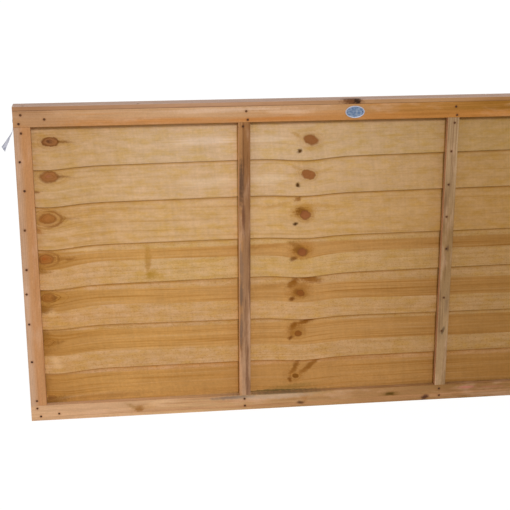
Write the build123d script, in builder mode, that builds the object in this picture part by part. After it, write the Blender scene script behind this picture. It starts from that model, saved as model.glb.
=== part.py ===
from build123d import *
import os
from math import exp

# Lap fence panel, in millimetres.
# X runs along the panel to the right, Y runs from the front to the back, Z is up.
# The origin is the middle of the foot, so the front face looks towards -Y.

# Whole panel
panel_width = 1830.0
panel_height = 912.0

# Sawn timbers of the frame, the same in front of the slats and behind them
frame_thickness = 18.0
top_rail_height = 44.0
bottom_rail_height = 47.0
stile_width = 45.0
batten_width = 32.0
bay_count = 3
right_batten_set = -3.0  # the right batten is nailed a little left of its even place
arris = 0.8  # worn corner along each timber
cap_thickness = 12.0

# Slats
slat_thickness = 6.0
slat_lap = 42.0  # how far a slat runs up behind the one above it
slat_end_gap = 3.0  # slats stop short of the panel's ends
top_slat_gap = 5.0  # below the capping strip
bottom_slat_gap = 5.0  # above the foot of the panel

# Lower edge of each slat from the top one down: how far it lies off an even pitch,
# how much it climbs from left to right, and how deep it sags under each ring of knots.
slat_edges = [
    (0.0, 21.0, 8.0, 8.5),
    (12.5, 17.0, 9.0, 6.0),
    (8.0, 8.0, 11.0, 6.5),
    (5.0, 18.0, 10.5, 9.0),
    (2.5, -10.0, 10.0, 8.0),
    (-16.5, 3.0, 11.0, 7.0),
]
near_knots_x = 80.0  # rings of knots, measured from the panel's left end
near_knots_spread = 80.0
far_knots_x = 795.0
far_knots_spread = 75.0
edge_trim = 12.0  # waste that is cut away below the wavy edge
edge_play = 0.3  # below the lowest point of an edge, before the slat meets the frame

# Wire nails
nail_length = 40.0
nail_radius = 1.35
nail_head_radius = 3.2
nail_head_thickness = 1.0
nail_set = 0.4  # heads are driven just below the wood
nail_side_count = 6  # a thin shank drawn with flats, to keep its hole light
nail_head_side_count = 8

# Nails through an upright, one row for each slat from the top: height and sideways place.
# A height is measured up from the slat's lowest edge, and a negative one down from the
# edge of the slat above. Sideways is from the panel's end, or from the batten's middle.
stile_nails = [
    [(-16.0, 20.0), (29.0, 12.0)],
    [(53.0, 20.0)],
    [(65.0, 14.0)],
    [(69.0, 12.0)],
    [(-2.5, 8.0), (29.0, 10.0)],
    [(48.0, 11.0)],
    [(57.0, 18.0)],
]
right_batten_nails = [
    [(-15.0, 3.0), (27.0, -2.0)],
    [(35.0, -5.0)],
    [(63.0, -6.0)],
    [(-33.0, -2.0)],
    [(56.0, -2.0)],
    [(-48.0, -3.0)],
]
left_batten_nails = [[(-11.0, -4.0)]]
left_batten_rear_nails = [
    [(55.0, 3.0)],
    [(50.0, -4.0)],
    [(60.0, 2.0)],
    [(47.0, 5.0)],
    [(55.0, -3.0)],
    [(52.0, 0.0)],
    [(60.0, 4.0)],
]
# Nails through a rail: offset from the end or the batten, and from the rail's middle line
top_corner_nails = [(21.0, 11.0), (15.0, -12.5), (83.0, -1.5)]
bottom_corner_nails = [(18.0, 15.0), (27.0, -10.5), (79.0, -4.5)]
top_batten_nails = [(5.0, 8.5), (9.0, -15.0)]
bottom_batten_nails = [(-2.0, 11.5), (-1.0, -10.5)]
# Nails down through the capping strip, from the left end, with the last one mirrored
cap_nails_x = [27.0, 333.0, 935.0, 1480.0]
cap_end_nail = 27.0

# Oval plate on the front top rail, with a raised rim
plate_width = 54.0
plate_height = 34.0
plate_thickness = 1.0
plate_rim = 3.0
plate_rim_height = 0.6
plate_offset = 11.0  # right of the middle of the panel

# Paper tag that curls off the left end and twists, and the two staples that hold it
tag_width = 36.0
tag_thickness = 0.6
tag_flat = 18.0
tag_curl_radius = 60.0
tag_curl_angle = 30.0
tag_tail = 46.0
tag_twist = 22.0  # at its foot, turning its outer face to the front
tag_top_gap = 19.0  # below the capping strip
staple_wire = 1.2
staple_crown = 10.0
staple_leg = 8.0
staple_inset = 4.0  # from each long edge of the tag

# Places that follow from the sizes
left_x = -panel_width / 2
right_x = panel_width / 2
cap_underside = panel_height - cap_thickness
rail_underside = cap_underside - top_rail_height
clear_height = rail_underside - bottom_rail_height
bay_width = (panel_width - 2 * stile_width - (bay_count - 1) * batten_width) / bay_count
left_batten_x = left_x + stile_width + bay_width + batten_width / 2
right_batten_x = left_batten_x + bay_width + batten_width + right_batten_set
slat_count = len(slat_edges) + 1
slat_pitch = clear_height / slat_count


def sag(x, middle, spread):
    """Share of a knot ring's full sag at a place along the slat."""
    return exp(-(((x - middle) / spread) ** 2))


def edge_height(slat, x):
    """Height of a slat's wavy lower edge, x measured from the panel's left end."""
    off_pitch, climb, near_sag, far_sag = slat_edges[slat]
    even = rail_underside - (slat + 1) * slat_pitch
    near = near_sag * sag(x, near_knots_x, near_knots_spread)
    far = far_sag * sag(x, far_knots_x, far_knots_spread)
    return even + off_pitch + climb * x / panel_width - near - far


# Stations along an edge: closer together where it sags under the knots
near_stations = [near_knots_x + k * near_knots_spread for k in (0, 0.6, 1.2, 2, 3)]
far_stations = [far_knots_x + k * far_knots_spread for k in (-3, -2, -1.2, -0.6, 0, 0.6, 1.2, 2, 3)]
last_station = far_stations[-1]
plain_stations = [last_station + k * (panel_width - last_station) / 3 for k in (1, 2)]
edge_stations = [-edge_trim] + near_stations + far_stations + plain_stations
edge_stations.append(panel_width + edge_trim)

# Lowest point of each slat, where it is nearest to the back of the front frame
lowest = [min(edge_height(n, x) for x in edge_stations) - edge_play for n in range(slat_count - 1)]
lowest.append(bottom_slat_gap)
above = [rail_underside] + lowest[:-1]
lean = [slat_thickness / (above[n] - lowest[n]) for n in range(slat_count)]
lap_lean = [lean[0]] + lean[:-1]
slat_top = [cap_underside - top_slat_gap] + [above[n] + slat_lap for n in range(1, slat_count)]

# Two slats lie in each lap, and they lean, so the space between the frames is deeper
lap_zone = 2 * slat_thickness + max(
    lap_lean[n] * (slat_top[n] - above[n]) for n in range(slat_count)
)
panel_depth = 2 * frame_thickness + lap_zone
front_y = -panel_depth / 2
slat_front_y = front_y + frame_thickness
rear_y = panel_depth / 2
slat_rear_y = rear_y - frame_thickness

# Drawing planes: on the front face looking in from the front, and on the rear face
front_plane = Plane.XZ.offset(-front_y)
rear_plane = Plane.XZ.offset(-rear_y)


def through_slats(nails, start, hand=1):
    """Nail places (x, z) through an upright, from its rows of nails, one row for each slat."""
    places = []
    for row, low, high in zip(nails, lowest, above):
        for up, across in row:
            places.append((start + hand * across, high + up if up < 0 else low + up))
    return places


def along_rail(nails, start, middle, hand=1):
    """Nail places (x, z) in a rail, measured from an end or a batten."""
    return [(start + hand * along, middle + up) for along, up in nails]


top_rail_z = rail_underside + top_rail_height / 2
bottom_rail_z = bottom_rail_height / 2
stile_places = through_slats(stile_nails, left_x) + through_slats(stile_nails, right_x, -1)
right_batten_places = through_slats(right_batten_nails, right_batten_x)
left_batten_places = through_slats(left_batten_nails, left_batten_x)
rail_places = []
for corner_nails, batten_nails, height in (
    (top_corner_nails, top_batten_nails, top_rail_z),
    (bottom_corner_nails, bottom_batten_nails, bottom_rail_z),
):
    rail_places += along_rail(corner_nails, left_x, height)
    rail_places += along_rail(corner_nails, right_x, height, -1)
    rail_places += along_rail(batten_nails, left_batten_x, height)
    rail_places += along_rail(batten_nails, right_batten_x, height)
front_places = stile_places + left_batten_places + right_batten_places + rail_places
rear_places = through_slats(left_batten_rear_nails, left_batten_x)
cap_nail_y = front_y + frame_thickness / 2
cap_places = [(left_x + x, cap_nail_y) for x in cap_nails_x] + [(right_x - cap_end_nail, cap_nail_y)]


def within(places, x_range, z_range):
    """The nail places that fall on one piece."""
    reach = nail_head_radius
    return [
        (x, z)
        for x, z in places
        if x_range[0] - reach < x < x_range[1] + reach and z_range[0] - reach < z < z_range[1] + reach
    ]


def nail_shapes(face, places, inward, gap, mode):
    """Heads and shanks driven through a face, or the seats and holes they leave."""
    # inward is -1 where the wood lies behind the face's plane, 1 where it lies before it
    with BuildSketch(face.offset(inward * gap)) as heads:
        with Locations(*places):
            RegularPolygon(nail_head_radius, nail_head_side_count, major_radius=False)
    extrude(heads.sketch, amount=inward * (nail_head_thickness + nail_set - gap), mode=mode)
    with BuildSketch(face.offset(inward * gap)) as shanks:
        with Locations(*places):
            RegularPolygon(nail_radius, nail_side_count, major_radius=False)
    extrude(shanks.sketch, amount=inward * (nail_length + nail_set - gap), mode=mode)


def cut_nail_holes(x_range, z_range):
    """Seats and holes for every nail that is driven through this piece."""
    from_front = within(front_places, x_range, z_range)
    from_rear = within(rear_places, x_range, z_range)
    if from_front:
        nail_shapes(front_plane, from_front, -1, 0, Mode.SUBTRACT)
    if from_rear:
        nail_shapes(rear_plane, from_rear, 1, 0, Mode.SUBTRACT)


def save(piece, label):
    piece.part.label = label
    export_step(piece.part, f"parts/{label}.step")


os.makedirs("parts", exist_ok=True)

# Tag and staple places on the left end
tag_top = cap_underside - tag_top_gap
tag_x = left_x - tag_thickness / 2
staple_y = tag_width / 2 - staple_inset
staple_places = [(y, tag_top - tag_flat / 2) for y in (-staple_y, staple_y)]
end_plane = Plane.YZ.offset(left_x)


def staple_legs(plane, length, mode=Mode.ADD):
    """The staples' legs, or the holes they leave, from a plane into the end."""
    with BuildSketch(plane) as legs:
        with Locations(*staple_places):
            with GridLocations(0, staple_crown - staple_wire, 1, 2):
                Rectangle(staple_wire, staple_wire)
    extrude(legs.sketch, amount=length, mode=mode)


def cut_cap_nail_tips():
    """Holes in the front top rail for the nails that come down through the capping strip."""
    with BuildSketch(Plane.XY.offset(cap_underside)) as tips:
        with Locations(*cap_places):
            RegularPolygon(nail_radius, nail_side_count, major_radius=False)
    extrude(tips.sketch, amount=cap_thickness - nail_set - nail_length, mode=Mode.SUBTRACT)


# Frame timbers
def frame_timber(label, x_range, z_range, face_y, grain):
    """One straight sawn timber, eased along its grain, with its nail holes."""
    with BuildPart() as timber:
        with BuildSketch(Plane.XZ.offset(-face_y)):
            with Locations(((x_range[0] + x_range[1]) / 2, (z_range[0] + z_range[1]) / 2)):
                Rectangle(x_range[1] - x_range[0], z_range[1] - z_range[0])
        extrude(amount=-frame_thickness)
        chamfer(timber.edges().filter_by(grain), length=arris)
        cut_nail_holes(x_range, z_range)
        if label == "top_rail_front":
            cut_cap_nail_tips()
        if label.startswith("top_rail"):
            staple_legs(end_plane, staple_leg, Mode.SUBTRACT)
    save(timber, label)


full_width = (left_x, right_x)
between_rails = (bottom_rail_height, rail_underside)
for side, face_y in (("front", front_y), ("rear", slat_rear_y)):
    frame_timber(f"top_rail_{side}", full_width, (rail_underside, cap_underside), face_y, Axis.X)
    frame_timber(f"bottom_rail_{side}", full_width, (0, bottom_rail_height), face_y, Axis.X)
    for upright, x_start, width in (
        ("left_stile", left_x, stile_width),
        ("right_stile", right_x - stile_width, stile_width),
        ("left_batten", left_batten_x - batten_width / 2, batten_width),
        ("right_batten", right_batten_x - batten_width / 2, batten_width),
    ):
        frame_timber(f"{upright}_{side}", (x_start, x_start + width), between_rails, face_y, Axis.Z)

# Capping strip, laid flat over both top rails
with BuildPart() as cap_strip:
    with BuildSketch(Plane.XY.offset(cap_underside)):
        Rectangle(panel_width, panel_depth)
    extrude(amount=cap_thickness)
    chamfer(cap_strip.edges().filter_by(Axis.X), length=arris)
    nail_shapes(Plane.XY.offset(panel_height), cap_places, -1, 0, Mode.SUBTRACT)
save(cap_strip, "cap_strip")


# Slats
def slat_profile(n):
    """Cross-section as (y, z): it leans back from its lower edge to the back of the slat
    above, and from there runs up flat against that slat's back."""
    trim = edge_trim if n < slat_count - 1 else 0
    foot = (slat_front_y - lean[n] * trim, lowest[n] - trim)
    bend = (slat_front_y + slat_thickness, above[n])
    head = (bend[0] + lap_lean[n] * (slat_top[n] - above[n]), slat_top[n])
    front = [foot, bend, head]
    back = [(y + slat_thickness, z) for y, z in reversed(front)]
    return front + back


def cut_wavy_edge(n):
    """Cuts off what lies below the natural edge of a slat."""
    edge = [(left_x + x, edge_height(n, x)) for x in edge_stations]
    waste = lowest[n] - 2 * edge_trim
    with BuildSketch(Plane.XZ) as offcut:
        with BuildLine():
            Spline(*edge)
            Polyline(edge[-1], (edge[-1][0], waste), (edge[0][0], waste), edge[0])
        make_face()
    extrude(offcut.sketch, amount=panel_depth, both=True, mode=Mode.SUBTRACT)


for n in range(slat_count):
    with BuildPart() as slat:
        with BuildSketch(Plane.YZ):
            with BuildLine():
                Polyline(*slat_profile(n), close=True)
            make_face()
        extrude(amount=panel_width / 2 - slat_end_gap, both=True)
        if n < slat_count - 1:
            cut_wavy_edge(n)
        cut_nail_holes(full_width, (lowest[n], slat_top[n]))
    save(slat, f"slat_{n + 1}")


# Nails
def nail_set_node(label, face, places, inward):
    with BuildPart() as nails:
        nail_shapes(face, places, inward, nail_set, Mode.ADD)
    save(nails, label)


nail_set_node("stile_nails", front_plane, stile_places, -1)
nail_set_node("batten_nails", front_plane, left_batten_places + right_batten_places, -1)
nail_set_node("rail_nails", front_plane, rail_places, -1)
nail_set_node("rear_batten_nails", rear_plane, rear_places, 1)
nail_set_node("cap_nails", Plane.XY.offset(panel_height), cap_places, -1)

# Oval plate with a raised rim
with BuildPart() as oval_plate:
    with BuildSketch(front_plane):
        with Locations((plate_offset, top_rail_z)):
            Ellipse(plate_width / 2, plate_height / 2)
    extrude(amount=plate_thickness)
    with BuildSketch(front_plane.offset(plate_thickness)):
        with Locations((plate_offset, top_rail_z)):
            Ellipse(plate_width / 2, plate_height / 2)
            Ellipse(plate_width / 2 - plate_rim, plate_height / 2 - plate_rim, mode=Mode.SUBTRACT)
    extrude(amount=plate_rim_height)
save(oval_plate, "oval_plate")

# Paper tag: flat against the ends of the top rails, then curling and twisting away from them
with BuildLine(Plane.XZ):
    flat = Line((tag_x, tag_top), (tag_x, tag_top - tag_flat))
    curl = JernArc(flat @ 1, flat % 1, tag_curl_radius, -tag_curl_angle)
    tail = Line(curl @ 1, curl @ 1 + tag_tail * (curl % 1))
free_length = curl.length + tail.length


def tag_cut(stretch, share, way):
    """Plane across the tag at a share of one stretch, which lies this way along its free part.
    The twist grows with the square of the way, so that no edge of the tag meets the timber."""
    turn = -tag_twist * (way / free_length) ** 2
    across = Vector(0, 1, 0).rotate(Axis((0, 0, 0), stretch % share), turn)
    return Plane(origin=stretch @ share, x_dir=across, z_dir=stretch % share)


with BuildPart() as end_tag:
    tag_cuts = [tag_cut(flat, 0, 0), tag_cut(flat, 1, 0)]
    for share in (0.2, 0.4, 0.6, 0.8, 1):
        tag_cuts.append(tag_cut(curl, share, share * curl.length))
    for share in (0.33, 0.67, 1):
        tag_cuts.append(tag_cut(tail, share, curl.length + share * tail.length))
    for cut in tag_cuts:
        with BuildSketch(cut):
            Rectangle(tag_width, tag_thickness)
    loft(ruled=True)
    staple_legs(end_plane, -tag_thickness, Mode.SUBTRACT)
save(end_tag, "end_tag")

# Staples: each a crown on the tag and two legs in the end of a top rail
with BuildPart() as tag_staples:
    with BuildSketch(end_plane.offset(-tag_thickness)):
        with Locations(*staple_places):
            Rectangle(staple_wire, staple_crown)
    extrude(amount=-staple_wire)
    staple_legs(end_plane.offset(-tag_thickness), tag_thickness + staple_leg)
save(tag_staples, "tag_staples")

print(f"panel {panel_width:.0f} x {panel_depth:.1f} x {panel_height:.0f} mm, bays {bay_width:.1f} mm")
print("slat edges at", [round(z) for z in lowest], "mm, nails", len(front_places + rear_places + cap_places))
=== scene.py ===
# %% [markdown]
# # A lap fence panel
# A lap panel is a frame of sawn timbers, doubled front and back, that grips seven thin slats.
# Each slat is cut straight along its top and left with the tree's own wavy edge below, and
# laps over the next one like a tile. The solids come from the CAD source, so this lesson is
# about their looks: what the wood, nails, plate and paper show from one step away.

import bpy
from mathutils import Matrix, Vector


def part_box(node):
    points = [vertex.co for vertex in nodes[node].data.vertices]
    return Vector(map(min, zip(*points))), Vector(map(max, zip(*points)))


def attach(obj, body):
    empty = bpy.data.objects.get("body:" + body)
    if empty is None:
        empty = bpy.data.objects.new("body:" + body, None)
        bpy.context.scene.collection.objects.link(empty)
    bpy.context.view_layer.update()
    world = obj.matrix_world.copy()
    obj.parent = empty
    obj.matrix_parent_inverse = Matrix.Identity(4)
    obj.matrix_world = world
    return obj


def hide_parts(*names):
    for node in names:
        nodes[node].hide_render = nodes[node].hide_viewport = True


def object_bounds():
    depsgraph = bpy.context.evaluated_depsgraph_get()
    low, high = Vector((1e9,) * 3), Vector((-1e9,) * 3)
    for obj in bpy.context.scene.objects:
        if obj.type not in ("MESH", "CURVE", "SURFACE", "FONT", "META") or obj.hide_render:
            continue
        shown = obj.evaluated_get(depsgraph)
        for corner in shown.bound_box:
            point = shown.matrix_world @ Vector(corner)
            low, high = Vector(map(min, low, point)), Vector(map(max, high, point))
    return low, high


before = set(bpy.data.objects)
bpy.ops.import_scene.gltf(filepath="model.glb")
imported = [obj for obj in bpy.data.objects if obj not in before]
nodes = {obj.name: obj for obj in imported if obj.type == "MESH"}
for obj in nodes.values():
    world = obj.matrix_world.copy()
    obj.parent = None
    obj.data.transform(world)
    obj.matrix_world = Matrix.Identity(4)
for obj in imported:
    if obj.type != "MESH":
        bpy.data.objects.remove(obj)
cad_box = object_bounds()
print("CAD nodes:", len(nodes))

# %% [markdown]
# ## Measures
# The panel stands with the middle of its foot at the origin, X to the right, Y to the back
# and Z up, all in metres. Whatever the solids already know is read from them. Only the rule
# for the slats' wavy edges is written again, because the grain follows that edge.

import bpy
import numpy as np
from collections import namedtuple
from math import cos, pi, radians, sin, tau
from mathutils import Vector
from types import SimpleNamespace

MM = 0.001
left_x, right_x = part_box("bottom_rail_front")[0].x, cad_box[1].x
front_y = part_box("bottom_rail_front")[0].y
slat_front_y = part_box("bottom_rail_front")[1].y
rear_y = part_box("bottom_rail_rear")[1].y
rail_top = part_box("bottom_rail_front")[1].z
rail_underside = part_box("top_rail_front")[0].z
rail_top_joint, panel_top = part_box("cap_strip")[0].z, cad_box[1].z
width = right_x - left_x

# From the top slat down, in mm: how far the edge sits off an even spacing, how far it climbs
# to the right, and how far it sags under the near and the far knots
slat_edges = [
    (0.0, 21.0, 8.0, 8.5),
    (12.5, 17.0, 9.0, 6.0),
    (8.0, 8.0, 11.0, 6.5),
    (5.0, 18.0, 10.5, 9.0),
    (2.5, -10.0, 10.0, 8.0),
    (-16.5, 3.0, 11.0, 7.0),
    (-45.0, 0.0, 9.0, 6.0),
]
near_knots, far_knots = 80 * MM, 795 * MM  # from the left end
near_spread, far_spread = 80 * MM, 75 * MM
slat_thickness = 6 * MM
slat_count = len(slat_edges)
slat_pitch = (rail_underside - rail_top) / slat_count
print(f"panel {width:.3f} m wide, slats {slat_pitch * 1000:.1f} mm apart")

# %% [markdown]
# ## The camera
# The photo was taken from a standing height, a little left of the middle and a long way
# back, so the panel's lines run almost level. A camera could be aimed by eye, but the frame's
# straight edges fix its place and its lens, and that keeps every piece on its own pixels.

# %% Camera
camera_data = bpy.data.cameras.new("camera")
camera = bpy.data.objects.new("camera", camera_data)
bpy.context.scene.collection.objects.link(camera)
camera.location = (-0.6498, -3.0527, 1.4274)
yaw, pitch = 0.12597, 0.302073
aim = Vector((sin(yaw) * cos(pitch), cos(yaw) * cos(pitch), -sin(pitch)))
camera.rotation_euler = aim.to_track_quat("-Z", "Y").to_euler()
camera_data.sensor_width = 36
camera_data.lens = 79.81
camera_data.clip_end = 200
bpy.context.scene.camera = camera
print("camera looks", [round(v, 3) for v in aim])

# %% [markdown]
# ## Sums on wires
# A material is a web of nodes. Written out one by one the nodes hide the idea, so a small
# class wraps a socket: Python's own signs then add the Math nodes, and a line of shader
# reads like the sum it is. Every other kind of node comes from one method, `node`.

# %% Wires and finishes
def both_ways(operation):
    """The methods for a sum with the wire first, and with the wire last."""
    def first(self, other):
        return self.finish.node("ShaderNodeMath", {"operation": operation}, {0: self, 1: other})

    def last(self, other):
        return self.finish.node("ShaderNodeMath", {"operation": operation}, {0: other, 1: self})

    return first, last


def alone(operation):
    """The method for a sum on the wire alone."""
    return lambda self: self.finish.node("ShaderNodeMath", {"operation": operation}, {0: self})


class Wire:
    """One value that changes over a surface."""
    def __init__(self, finish, socket):
        self.finish, self.socket = finish, socket

    __add__, __radd__ = both_ways("ADD")
    __sub__, __rsub__ = both_ways("SUBTRACT")
    __mul__, __rmul__ = both_ways("MULTIPLY")
    __truediv__, __rtruediv__ = both_ways("DIVIDE")
    highest, lowest = both_ways("MAXIMUM")[0], both_ways("MINIMUM")[0]
    __abs__, exp = alone("ABSOLUTE"), alone("EXPONENT")
    root, sine = alone("SQRT"), alone("SINE")


class Finish:
    """A material that is being made."""
    def __init__(self, name):
        self.material = bpy.data.materials.new(name)
        self.material.use_nodes = True
        self.tree = self.material.node_tree
        self.shader = self.tree.nodes["Principled BSDF"]

    def plug(self, value, socket):
        """Links a wire to a socket, or sets the socket to a number or a colour."""
        if isinstance(value, Wire):
            self.tree.links.new(value.socket, socket)
        else:
            socket.default_value = value

    def node(self, kind, settings=None, values=None, output=0):
        """Adds a node: its settings first, then a number, colour or wire for each socket."""
        made = self.tree.nodes.new(kind)
        for name, setting in (settings or {}).items():
            setattr(made, name, setting)
        for name, value in (values or {}).items():
            self.plug(value, made.inputs[name])
        return Wire(self, made.outputs[output])

    def feed(self, **sockets):
        """Gives the shader its numbers, colours and wires."""
        for name, value in sockets.items():
            self.plug(value, self.shader.inputs[name.replace("_", " ")])

# %% [markdown]
# ## Small tools for every finish
# Places come from the object's own coordinates, which are metres of the real panel, so a
# knot is put where it sits. Colours are named as a screen shows them and turned into the
# light they send back. A bell is a soft spot, a step is a soft border, and noise is chance.

# %% Places, colours, bells, steps and noise
def paint(red, green, blue):
    """A colour as a screen shows it, as the light that it sends back."""
    shares = [c / 255 for c in (red, green, blue)]
    return tuple(s / 12.92 if s < 0.04045 else ((s + 0.055) / 1.055) ** 2.4 for s in shares) + (1,)


def places(finish):
    """X, Y and Z of the surface, in metres."""
    place = finish.node("ShaderNodeTexCoord", output="Object")
    return [finish.node("ShaderNodeSeparateXYZ", values={0: place}, output=k) for k in range(3)]


def facing(finish, axis):
    """How far the surface faces along an axis, from -1 to 1."""
    normal = finish.node("ShaderNodeNewGeometry", output="True Normal")
    return finish.node("ShaderNodeSeparateXYZ", values={0: normal}, output=axis)


def bell(distance):
    """1 in the middle and 0 far off, for a wire or a plain number."""
    if isinstance(distance, Wire):
        return (distance * distance * -1.0).exp()
    return np.exp(-distance * distance)


def step(value, start, end):
    """0 before start and 1 past end, or the other way round where end is lower."""
    limits = {"Value": value, "From Min": start, "From Max": end}
    return value.finish.node("ShaderNodeMapRange", {"interpolation_type": "SMOOTHSTEP"}, limits)


def noise(x, y, z, detail=2.0, rough=0.5):
    """Smooth chance from 0 to 1 with a mean of one half; x, y and z hold its scale."""
    finish = next(v.finish for v in (x, y, z) if isinstance(v, Wire))
    spot = finish.node("ShaderNodeCombineXYZ", values={0: x, 1: y, 2: z})
    values = {"Vector": spot, "Scale": 1.0, "Detail": detail, "Roughness": rough}
    return finish.node("ShaderNodeTexNoise", values=values)


def blend(share, start, end):
    """From one colour to another, each a wire or a colour as a screen shows it."""
    start, end = (c if isinstance(c, Wire) else paint(*c) for c in (start, end))
    return share.finish.node("ShaderNodeMix", {"data_type": "RGBA"}, {0: share, 6: start, 7: end}, 2)


def stain(share, colour, tint):
    """Darkens a colour through a see-through tint of three shares."""
    settings = {"data_type": "RGBA", "blend_type": "MULTIPLY"}
    return share.finish.node("ShaderNodeMix", settings, {0: share, 6: colour, 7: (*tint, 1)}, 2)


def along_tones(at, stops):
    """A colour that changes along a wire, from places and the colours they have."""
    colour = stops[0][1]
    for (start, _), (end, tone) in zip(stops, stops[1:]):
        colour = blend(step(at, start, end), colour, tone)
    return colour


def brighten(colour, factor):
    """A colour times a number."""
    return factor.finish.node(
        "ShaderNodeVectorMath", {"operation": "SCALE"}, {0: colour, "Scale": factor}
    )


def bump(height, distance, strength=1.0):
    """Relief from a wire of heights, where 1 stands for this distance in metres."""
    values = {"Strength": strength, "Distance": distance, "Height": height}
    return height.finish.node("ShaderNodeBump", values=values)


print("paint(200, 158, 112) sends back", [round(c, 3) for c in paint(200, 158, 112)[:3]])

# %% [markdown]
# ## Floor, backdrop and light
# The photo has a plain white ground. A bright lamp could wash it white, but it would wash
# the wood as well. Here the light stays plain, and only what the camera sees of floor and
# world is lifted to white, so that the wood keeps its colour and the floor its shadow.

# %% Floor
def seen_share(finish):
    """1 for rays from the camera, and for what gloss and glass show."""
    share = 0.0
    for kind in ("Is Camera Ray", "Is Glossy Ray", "Is Transmission Ray"):
        share = finish.node("ShaderNodeLightPath", output=kind) + share
    return share.lowest(1.0)


floor_finish = Finish("white_floor")
floor_finish.feed(Base_Color=paint(232, 231, 229), Roughness=0.9, Specular_IOR_Level=0.1)
white = floor_finish.node("ShaderNodeEmission", values={"Color": (1, 1, 1, 1), "Strength": 0.9})
dim = floor_finish.node("ShaderNodeBsdfDiffuse", values={"Color": (0.2, 0.2, 0.2, 1)})
lifted = floor_finish.node("ShaderNodeAddShader", values={0: white, 1: dim})
lit = Wire(floor_finish, floor_finish.shader.outputs[0])
ground = floor_finish.node("ShaderNodeMixShader", values={0: seen_share(floor_finish), 1: lit, 2: lifted})
output = floor_finish.tree.nodes["Material Output"]
floor_finish.tree.links.new(ground.socket, output.inputs["Surface"])

bpy.ops.mesh.primitive_plane_add(size=80)
floor = bpy.context.object
floor.name = "floor"
floor.data.materials.append(floor_finish.material)
print("floor:", floor.name)

# %% World and sun
world = bpy.data.worlds.new("sky")
bpy.context.scene.world = world
world.use_nodes = True


class Sky(Finish):
    """The same tools for the world's own nodes."""
    def __init__(self, world):
        self.tree = world.node_tree


sky = Sky(world)
for old in list(sky.tree.nodes):
    sky.tree.nodes.remove(old)
soft = sky.node("ShaderNodeBackground", values={"Color": (1, 0.985, 0.97, 1), "Strength": 0.46})
clear = sky.node("ShaderNodeBackground", values={"Color": (1, 1, 1, 1), "Strength": 1.0})
backdrop = sky.node("ShaderNodeMixShader", values={0: seen_share(sky), 1: soft, 2: clear})
world_output = sky.tree.nodes.new("ShaderNodeOutputWorld")
sky.tree.links.new(backdrop.socket, world_output.inputs["Surface"])

sun_data = bpy.data.lights.new("sun", "SUN")
sun_data.energy = 1.5
sun_data.angle = radians(12)
sun = bpy.data.objects.new("sun", sun_data)
bpy.context.scene.collection.objects.link(sun)
side, height = radians(4), radians(27)
to_sun = Vector((sin(side) * cos(height), -cos(side) * cos(height), sin(height)))
sun.rotation_euler = to_sun.to_track_quat("Z", "Y").to_euler()
bpy.context.scene.view_settings.view_transform = "Standard"
print("light comes from", [round(v, 2) for v in to_sun])

# %% [markdown]
# ## Marks in wood
# A knot is the foot of a branch: a red-brown oval with a darker rim, and a halo of dense,
# resinous wood round it. The grain parts to flow round it. Each knot here is a place, two
# radii and a strength, and gives a distance that is 1 on the rim. The rest follows from it.

# %% Knots and spots
def oval(x, z, place, radii, tilt=0.0):
    """Distance from a place, 1 on an oval of these radii, tilted anticlockwise."""
    dx, dz = x - place[0], z - place[1]
    c, s = cos(tilt), sin(tilt)
    along, up = (dx * c + dz * s) / radii[0], (dz * c - dx * s) / radii[1]
    return (along * along + up * up).root()


def spots(x, z, centres, radius):
    """1 on each of several small places, such as round each nail."""
    found = None
    for centre in centres:
        spot = bell(oval(x, z, centre, (radius, radius)))
        found = spot if found is None else found.highest(spot)
    return found


def flame(x, z, place, radii, reach):
    """Distance like an oval's on the left, but drawn out to a point on the right."""
    dx, dz = (x - place[0]) / radii[0], (z - place[1]) / radii[1]
    behind, ahead = dx.lowest(0.0), dx.highest(0.0)
    return (behind * behind + dz * dz + ahead * ahead * 0.16).root() + ahead / reach


def smears(colour, x, z, wobble, marks):
    """Paints soft patches: place and two radii in mm, tilt, strength and colour of each."""
    for *measures, tilt, strength, tint in marks:
        across, up, wide, tall = (v * MM for v in measures)
        distance = oval(x, z, (across, up), (wide, tall), tilt) + wobble
        colour = blend(step(distance, 1.45, 0.35) * strength, colour, tint)
    return colour


def eye(colour, distance, core, rim, core_tint, rim_tint):
    """Paints the round of a knot: a core, and a rim that is 1 away from its middle."""
    colour = blend(step(distance, 1.15, 0.8) * core, colour, core_tint)
    return blend(bell((distance - 0.94) / 0.17) * rim, colour, rim_tint)


print("tools for knots are ready")

# %% [markdown]
# ## The nails' places
# The solids hold one node for each set of nails. Their middles are read from the packed
# meshes, since the wood round a steel nail is stained dark and the heads are made anew.

# %% Where the nails are
nail_reach = 7.2 * MM  # more than a head is wide, and less than nails stand apart


def nail_centres(node, first, second):
    """The nails' middles in a CAD node, along two of its axes."""
    points = np.array([(v.co[first], v.co[second]) for v in nodes[node].data.vertices])
    centres = []
    while len(points):
        near = np.hypot(*(points - points[0]).T) < nail_reach
        centres.append((points[near].min(0) + points[near].max(0)) / 2)
        points = points[~near]
    return [tuple(float(c) for c in centre) for centre in centres]


front_nails = {n: nail_centres(n, 0, 2) for n in ("stile_nails", "batten_nails", "rail_nails")}
rear_nails = {"rear_batten_nails": nail_centres("rear_batten_nails", 0, 2)}
cap_nails = nail_centres("cap_nails", 0, 1)
print("nails:", {k: len(v) for k, v in (front_nails | rear_nails).items()}, len(cap_nails))


def nails_in(node, sets):
    """The nails of these sets that go through a timber."""
    low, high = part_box(node)
    places = [p for several in sets.values() for p in several]
    return [p for p in places if low.x < p[0] < high.x and low.z < p[1] < high.z]

# %% [markdown]
# ## The frame's timbers
# Wood is not a picture on a board: it is a bundle of tubes laid down in yearly rings. So the
# rings are worked out in space, as distances from a pith that runs beside the timber, and
# the faces, the ends and the worn corners all show the same rings where they cut them.
# On top come broad streaks of colour, marks of the saw, and the stains and knots of this one.

# %% Grain of a timber
wood_gloss = 0.08
ring_gap = 3.4 * MM


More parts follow.
